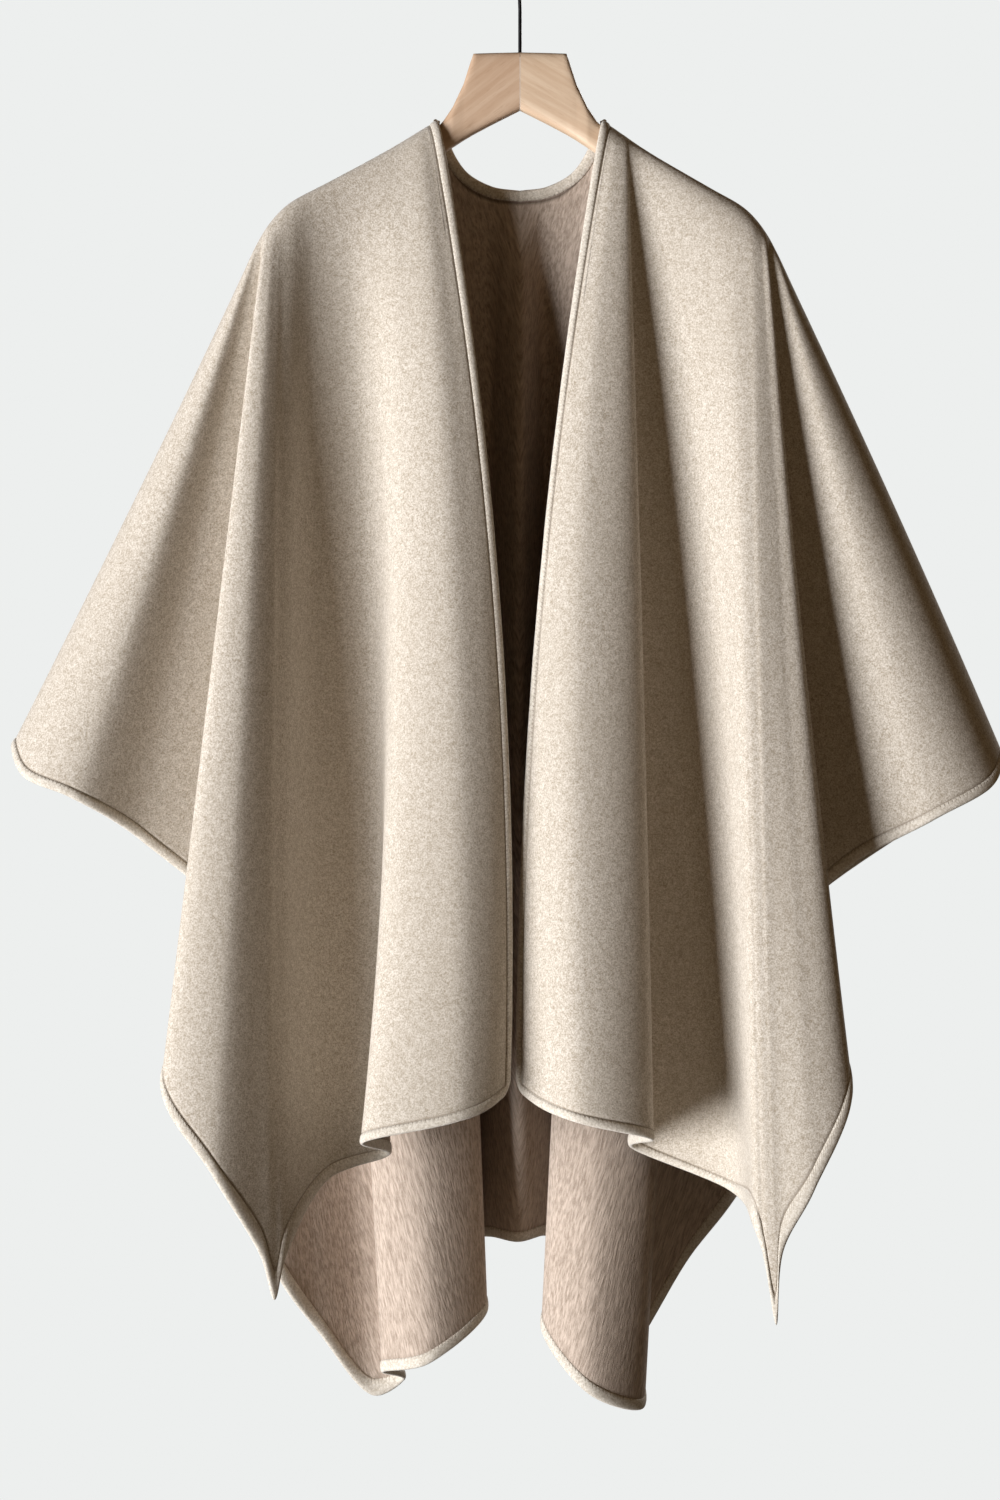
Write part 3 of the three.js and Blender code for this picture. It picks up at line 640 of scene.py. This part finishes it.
# fold i at a ring, and what continues the cloth before the first fold and after the last
def nearFold(lines, i, ring):
    last = len(lines["names"]) - 1
    point = onFold(lines, np.clip(i, 0, last), ring)
    zero, one = np.zeros_like(i), np.ones_like(i)
    if lines["names"][0] == "wrist":
        before = beyondWrist(lines, zero, one, ring)
    else:
        before = 2 * onFold(lines, zero, ring) - onFold(lines, one, ring)
    after = beyondWrist(lines, one * last, one * (last - 1), ring)
    point = np.where((i < 0)[..., None], before, point)
    return np.where((i > last)[..., None], after, point)


# a point of the cloth between the folds, at column (fold number and part) and ring
def clothPoint(lines, column, ring):
    column, ring = np.broadcast_arrays(np.asarray(column, float), np.asarray(ring, float))
    r = np.clip(np.floor(column).astype(int), 0, len(lines["names"]) - 2)
    part = column - r

    def across(ring):
        return between(*(nearFold(lines, r + step, ring) for step in (-1, 0, 1, 2)), part)

    # exactly on the hanging line at the top
    start = lines["start"][r] * (1 - part) + lines["start"][r + 1] * part
    exact = hangingPoints(start, lines["sign"][r], lines["reach"][r], lines["lower"][r])
    onArm = lines["start"][r] + lines["start"][r + 1] > 0
    exact[..., 1] += np.where(onArm, lines["facing"] * cloth["seamGap"] / 2, 0)
    ease = np.clip(1 - ring * cloth["topZone"] / cloth["blendDown"], 0, 1) ** 2
    return across(ring) + (exact - across(np.zeros_like(ring))) * ease[..., None]


# the first and last fold that start where the shoulder meets the neck
def neckFolds(lines):
    neck = [i for i, start in enumerate(lines["start"]) if start == 0]
    return neck[0], neck[-1]


probe = {"column": 0.03, "ring": 0.006}


def clothNormal(lines, column, ring):
    column, ring = np.broadcast_arrays(np.asarray(column, float), np.asarray(ring, float))
    top = len(lines["names"]) - 1
    columns = [np.clip(column + step, 0, top) for step in (probe["column"], -probe["column"])]
    rings = [np.clip(ring + step, 0, 3) for step in (probe["ring"], -probe["ring"])]
    across = clothPoint(lines, columns[0], ring) - clothPoint(lines, columns[1], ring)
    down = clothPoint(lines, column, rings[0]) - clothPoint(lines, column, rings[1])
    normal = np.cross(down, across) * lines["turn"]
    first, last = neckFolds(lines)
    besideNeck = (lines["facing"] < 0) | (column <= first) | (column >= last)
    onSeam = (column >= top) | ((ring <= 0) & besideNeck)
    if lines["names"][0] == "wrist":
        onSeam |= column <= 0
    normal[..., 1] = np.where(onSeam, 0, normal[..., 1])
    return normal / np.linalg.norm(normal, axis=-1, keepdims=True)


def firstWidth(lines, ring):
    first = np.zeros_like(ring, dtype=int)
    return np.linalg.norm(onFold(lines, first + 1, ring) - onFold(lines, first, ring), axis=-1)


topRings = [0, 0.05, 0.1, 0.17, 0.26, 0.37, 0.5, 0.65, 0.82]
lastRings = [1.9885, 1.9965, 2.0]
edgeSteps = [4.2, 5.6, 6.6, 7.4, 8.2, 9.0, 9.8, 10.8, 12.5, 15.5]  # columns beside the front edge, mm in
hemSteps = [8.2, 7.4, 6.6, 5.6, 4.2]  # rings above the hem, mm in
grid = {
    "fallPower": 0.99,  # the cells of the fall get a little shorter towards the hem
    "samples": 9, "leastCells": 2,
    "besideLimit": 0.9, "thirds": (1 / 3, 2 / 3),  # a narrow first fold keeps room for two more columns
}


def ringList(fallRings):
    hem = [3 - d / cloth["edgeWidth"] for d in hemSteps]
    fall = 1 + np.linspace(0, 1, fallRings)[:-1] ** grid["fallPower"]
    return np.array(topRings + list(fall) + lastRings + hem)


def columnList(lines, cell):
    columns = []
    top = len(lines["names"]) - 1
    for r in range(top):
        across = np.linspace(r, r + 1, grid["samples"])
        runs = [clothPoint(lines, across, np.full_like(across, ring)) for ring in (1.0, 2.0, 3.0)]
        widest = max(np.linalg.norm(np.diff(run, axis=0), axis=1).sum() for run in runs)
        cells = max(grid["leastCells"], math.ceil(widest / cell))
        columns += [r + c / cells for c in range(cells)]
    return np.array(columns + [top])


# where the columns and rings of a panel run; a front has a few more beside its front edge
def panelGrid(panel, lines):
    rings = np.unique(np.round(ringList(panel["mesh"]["fallRings"]), 5))
    columns = columnList(lines, panel["mesh"]["cell"])
    if lines["facing"] < 0:
        columns = columns[columns >= 1]
        width = firstWidth(lines, rings)
        beside = [np.minimum(d / width, grid["besideLimit"]) for d in edgeSteps]
        rest = [beside[-1] + (1 - beside[-1]) * third for third in grid["thirds"]]
        column = np.vstack([np.array(beside + rest), np.repeat(columns[:, None], len(rings), 1)])
    else:
        column = np.repeat(columns[:, None], len(rings), 1)
    return column, np.repeat(rings[None, :], len(column), 0)


# the line that the stitches pinch beside the binding, in mm: where, how wide, how deep, and how dark the
# painted shade in its groove is
pinch = {
    "outerAt": 7.9, "innerAt": 9.9, "width": 0.8, "depth": 0.75, "outerPaintedShade": 0.75, "innerPaintedShade": 0.9,
    "thinOuter": 7, "thinInner": 9, "thinner": 0.3,  # the cloth is thinner inside the binding
    "neckAt": 6.8, "fall": 820,
}


def fromOutline(lines, column, ring):
    width = cloth["edgeWidth"]
    far = np.where(ring > 2, width * (3 - ring), width + (2 - ring) * pinch["fall"])
    if lines["facing"] < 0:
        fromEdge = np.where(column < 1, column * firstWidth(lines, ring), np.inf)
        return np.minimum(far, fromEdge)
    first, last = neckFolds(lines)
    atNeck = (column > first) & (column < last)
    return np.where(atNeck, np.minimum(far, pinch["neckAt"] + ring * cloth["topZone"]), far)


def shellOf(panel, lines, materials):
    column, ring = panelGrid(panel, lines)
    point = clothPoint(lines, column, ring)
    normal = clothNormal(lines, column, ring)
    far = fromOutline(lines, column, ring)
    pulledOuter = np.exp(-((far - pinch["outerAt"]) / pinch["width"]) ** 2)
    pulledInner = np.exp(-((far - pinch["innerAt"]) / pinch["width"]) ** 2)
    half = cloth["wall"] / 2
    outer = half - pinch["depth"] * pulledOuter - pinch["thinner"] * (far < pinch["thinOuter"])
    inner = half - pinch["depth"] * pulledInner - pinch["thinner"] * (far < pinch["thinInner"])
    # painted shade along the pinched stitch grooves, kept as an attribute for the colour
    groovePaintedShade = np.stack([pulledOuter * pinch["outerPaintedShade"], pulledInner * pinch["innerPaintedShade"]])
    count, depth = column.shape
    bm = bmesh.new()
    bmesh.ops.create_grid(bm, x_segments=count - 1, y_segments=depth - 1, size=1)
    layer = bm.verts.layers.float.new("stitchGroovePaintedShade")
    for f in bm.faces:
        f.smooth = True
    # the inner face is a copy, laid one unit under the first until both are shaped
    copied = bmesh.ops.duplicate(bm, geom=bm.verts[:] + bm.edges[:] + bm.faces[:])["geom"]
    copiedFaces = [g for g in copied if isinstance(g, bmesh.types.BMFace)]
    bmesh.ops.reverse_faces(bm, faces=copiedFaces)
    for f in copiedFaces:
        f.material_index = 1
    copiedVerts = [g for g in copied if isinstance(g, bmesh.types.BMVert)]
    bmesh.ops.translate(bm, verts=copiedVerts, vec=(0, 0, -1))
    for v in bm.verts:
        i = round((v.co.x + 1) / 2 * (count - 1))
        k = round((1 - v.co.y) / 2 * (depth - 1))
        isOuter = v.co.z > -0.5
        reach = outer[i, k] if isOuter else -inner[i, k]
        v.co = (point[i, k] + normal[i, k] * reach) * mm
        v[layer] = groovePaintedShade[0 if isOuter else 1, i, k]
    borders = [e for e in bm.edges if e.is_boundary]
    for f in bmesh.ops.bridge_loops(bm, edges=borders)["faces"]:
        f.material_index = 0
        f.smooth = False
    for e in borders:
        e.smooth = False
    bmesh.ops.recalc_face_normals(bm, faces=bm.faces)
    return meshObject(panel["name"] + "_cloth", bm, materials)


# section of the binding: mm in from the outline, mm out from the middle of the cloth, and how strongly
# the stitches pull it
edgeSection = [
    (7.5, 0.9, 0.3), (7.3, 1.45, 1), (6.5, 1.95, 0.6), (5.0, 2.25, 0), (3.2, 2.3, 0), (1.5, 2.0, 0),
    (0.45, 1.25, 0), (0, 0, 0), (0.45, -1.25, 0), (1.5, -2.0, 0), (3.6, -2.35, 0), (6.2, -2.3, 0),
    (8.2, -2.0, 0.5), (9.1, -1.5, 1), (9.3, -0.9, 0.3), (8.4, 0, 0),
]
edging = {
    "step": 4.0, "samples": 17, "leastSteps": 4, "fall": 850, "fallSteps": 190, "stopsAbove": 4,
    "cornerRound": 11.0, "cornerStep": 9, "cornerRing": 2.5, "afterCorner": 0.05,
}
# the binding is a little thicker and thinner along its length: share, and mm between the waves
waves = [(0.06, 23.0, 0), (0.05, 9.3, 1.7)]


def edgeBody(name, outline, base, outNormal, baseNormal, material):
    rings, along, pull = [], [], []
    walked = np.concatenate([[0], np.cumsum(np.linalg.norm(np.diff(outline, axis=0), axis=1))])
    wave = 1 + sum(share * np.sin(walked / length + offset) for share, length, offset in waves)
    for depth, height, row in edgeSection:
        part = depth / cloth["edgeWidth"]
        normal = outNormal * (1 - part) + baseNormal * part
        rings.append(outline + (base - outline) * part + normal * (height * wave)[:, None])
        along.append(walked * mm)
        pull.append(np.full(len(walked), float(row)))
    attributes = {"alongEdge": np.stack(along, 1), "stitchRow": np.stack(pull, 1)}
    return bodyThrough(name, np.stack(rings, 1) * mm, [material], attributes)


# columns along the hem, one every few millimetres
def hemColumns(lines):
    top = len(lines["names"]) - 1
    columns = []
    for r in range(top):
        across = np.linspace(r, r + 1, edging["samples"])
        run = clothPoint(lines, across, np.full_like(across, 3.0))
        length = np.linalg.norm(np.diff(run, axis=0), axis=1).sum()
        steps = max(edging["leastSteps"], math.ceil(length / edging["step"]))
        columns += [r + c / steps for c in range(steps)]
    return np.array(columns + [top])


# the ring that lies this far above the hem, in mm
def ringAbove(distance):
    width = cloth["edgeWidth"]
    return 3 - distance / width if distance <= width else 2 - (distance - width) / edging["fall"]


def hemAndFront(panel, lines, material):
    hem = hemColumns(lines)
    fall = np.concatenate([np.array(topRings), 1 + np.linspace(0, 1, edging["fallSteps"])])
    cornerWidth = float(firstWidth(lines, np.array([edging["cornerRing"]]))[0])
    fall = fall[fall < 2 - edging["stopsAbove"] / edging["fall"]]
    outline = [(0.0, ring) for ring in fall]
    inward = [(cloth["edgeWidth"] / w, ring) for w, ring in zip(firstWidth(lines, fall), fall)]
    outerRound = edging["cornerRound"]
    innerRound = outerRound - cloth["edgeWidth"]
    for degrees in range(0, 91, edging["cornerStep"]):
        c, s = math.cos(math.radians(degrees)), math.sin(math.radians(degrees))
        outline.append((outerRound * (1 - c) / cornerWidth, ringAbove(outerRound * (1 - s))))
        ring = ringAbove(outerRound - innerRound * s)
        inward.append(((outerRound - innerRound * c) / cornerWidth, ring))
    for column in hem[hem > outerRound / cornerWidth + edging["afterCorner"]]:
        outline.append((column, 3.0))
        inward.append((column, 2.0))
    outline, inward = np.array(outline).T, np.array(inward).T
    return edgeBody(panel["name"] + "_edge", clothPoint(lines, *outline), clothPoint(lines, *inward),
                    clothNormal(lines, *outline), clothNormal(lines, *inward), material)


def backHem(lines, material):
    hem = hemColumns(lines)
    low, high = (hem, np.full_like(hem, 3.0)), (hem, np.full_like(hem, 2.0))
    return edgeBody("back_edge", clothPoint(lines, *low), clothPoint(lines, *high),
                    clothNormal(lines, *low), clothNormal(lines, *high), material)


# the band goes on upwards from the cloth, and narrows towards the front edges; columns and mm
neckStrip = {
    "fromEnd": 0.03, "steps": 150, "narrow": 2, "wider": 6, "below": 1, "taper": 0.9, "taperPower": 0.7,
    "normalAt": 0.03, "onwardFrom": 0.12,
}


def neckEdge(lines, material):
    first, last = neckFolds(lines)
    column = np.linspace(first + neckStrip["fromEnd"], last - neckStrip["fromEnd"], neckStrip["steps"])
    base = clothPoint(lines, column, np.zeros_like(column))
    normal = clothNormal(lines, column, np.full_like(column, neckStrip["normalAt"]))
    along = np.gradient(base, axis=0)
    along /= np.linalg.norm(along, axis=1, keepdims=True)
    onward = base - clothPoint(lines, column, np.full_like(column, neckStrip["onwardFrom"]))
    onward -= along * (onward * along).sum(1)[:, None]
    onward /= np.linalg.norm(onward, axis=1, keepdims=True)
    inFrom = np.minimum(column - first, last - column)
    ends = np.clip(inFrom / neckStrip["taper"], 0, 1) ** neckStrip["taperPower"]
    reach = (neckStrip["narrow"] + neckStrip["wider"] * ends)[:, None]
    upper, lower = base + onward * reach, base - onward * neckStrip["below"]
    return edgeBody("neck_edge", upper, lower, normal, normal, material)


# the hanger
hanger = {
    "corners": 32, "steps": 61, "nearEnd": [0.03, 0.08],
    "squareHead": 0.42, "squareArm": 0.72, "squareFrom": 52, "squareTo": 72,
    "lowerFrom": 69, "lowerOver": 50,  # the two arms hang unevenly from here on
    # x, y, top, bottom, thick
    "slices": [
        (0.15, 0, -106, -154, 18), (24, 0, -106.5, -166, 18), (39, 0, -107, -174, 18),
        (41.5, 0, -114, -175.5, 18), (47.5, 0, -133, -179, 18), (56.5, -0.5, -152, -185, 18),
        (64, -1, -163, -190.5, 15), (70, -1, -169.8, -194.5, 14), (110, -5, -193, -218, 17),
        (152, -11, -218.5, -241, 16), (174, -16, -232, -251, 16), (183, -17.5, -240, -253, 11),
        (187, -18, -245, -251, 5),
    ],
}


def hangerHalf(name, side, material):
    slices = np.array(hanger["slices"], float)
    i = np.arange(len(slices))
    evenly = np.linspace(0, len(slices) - 1, hanger["steps"])
    t = np.unique(np.concatenate([i, evenly, hanger["nearEnd"]]))
    x, y, top, bottom, thick = (np.interp(t, i, slices[:, c]) for c in range(5))
    square = np.interp(x, [hanger["squareFrom"], hanger["squareTo"]],
                       [hanger["squareHead"], hanger["squareArm"]])
    lowered = side["lower"] * np.clip((x - hanger["lowerFrom"]) / hanger["lowerOver"], 0, 1)
    rings = []
    for k in range(hanger["corners"]):
        a = (k + 0.5) / hanger["corners"] * 2 * math.pi
        c, s = math.cos(a), math.sin(a)
        out = np.sign(c) * np.abs(c) ** square * thick / 2
        up = np.sign(s) * np.abs(s) ** square * (top - bottom) / 2
        rings.append(np.stack([side["sign"] * x, y + out, (top + bottom) / 2 - lowered + up], 1))
    return bodyThrough(name, np.stack(rings, 1) * mm, [material])


hook = {
    "wire": 1.5, "bow": 20.5, "sides": 20, "steps": 161,
    "stem": [(0, -109), (0, -88), (0, -70), (0, -58), (3, -49), (11, -39)],  # x and z, up to the bow
    "bowTurns": range(-40, 201, 20),
    "freeEnd": (0.96, 0.82, 0.6, 0.3),  # the end is rounded over
}


def hookWire(material):
    wire, bow = hook["wire"], hook["bow"]
    path = list(hook["stem"])
    for degrees in hook["bowTurns"]:
        a = math.radians(degrees)
        path.append((bow * math.cos(a), wire - bow + bow * math.sin(a)))
    points = lineAt([(x, 0, z) for x, z in path], np.linspace(0, len(path) - 1, hook["steps"]))
    along = np.gradient(points, axis=0)
    along /= np.linalg.norm(along, axis=1, keepdims=True)
    up = np.cross(along, (0, 1, 0))
    size = np.ones(len(points))
    size[-len(hook["freeEnd"]):] = hook["freeEnd"]
    rings = []
    for k in range(hook["sides"]):
        a = 2 * math.pi * k / hook["sides"]
        sideways = np.outer(size, (0, math.cos(a), 0))
        rings.append(points + (sideways + up * size[:, None] * math.sin(a)) * wire)
    return bodyThrough("hook_wire", np.stack(rings, 1) * mm, [material])


# putting it together
studio()
felt, nap = feltGroup(), napGroup()
outerWool, innerWool, edgeCloth = oatmealWool(felt), taupeWool(nap, felt), edgeWool(felt)
print("studio and materials made")

for panel in (rightFront, leftFront):
    lines = foldLines(panel)
    edge = hemAndFront(panel, lines, edgeCloth)
    piece = shellOf(panel, lines, [outerWool, innerWool])
    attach(piece, "root")
    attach(edge, "root")
    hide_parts(panel["name"])
    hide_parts(panel["name"] + "_rim")
    print(panel["name"], "draped")

lines = foldLines(back)
backCloth = shellOf(back, lines, [outerWool, innerWool])
backEdge = backHem(lines, edgeCloth)
neckBand = neckEdge(lines, edgeCloth)
backPieces = [
    (backCloth, "back_panel", "wool"),
    (backEdge, "back_rim", "wool_edge"),
    (neckBand, "neck_rim", "wool_edge"),
]
for piece, node, slotName in backPieces:
    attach(piece, "root")
    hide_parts(node)
print("back draped")

# the right half's copy of the beech is painted darker as shade
rightBeech = beech("beech_right_half", beechWood["rightTurn"], beechWood["rightPaintedShade"])
leftBeech = beech("beech_left_half", beechWood["leftTurn"], beechWood["leftPaintedShade"])
halves = [("hanger_right_half", rightSide, rightBeech), ("hanger_left_half", leftSide, leftBeech)]
for name, side, material in halves:
    half = hangerHalf(name + "_wood", side, material)
    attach(half, "root")
    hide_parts(name)
wire = hookWire(blackWire())
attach(wire, "root")
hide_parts("hook")
print("hanger made")

bpy.context.view_layer.update()
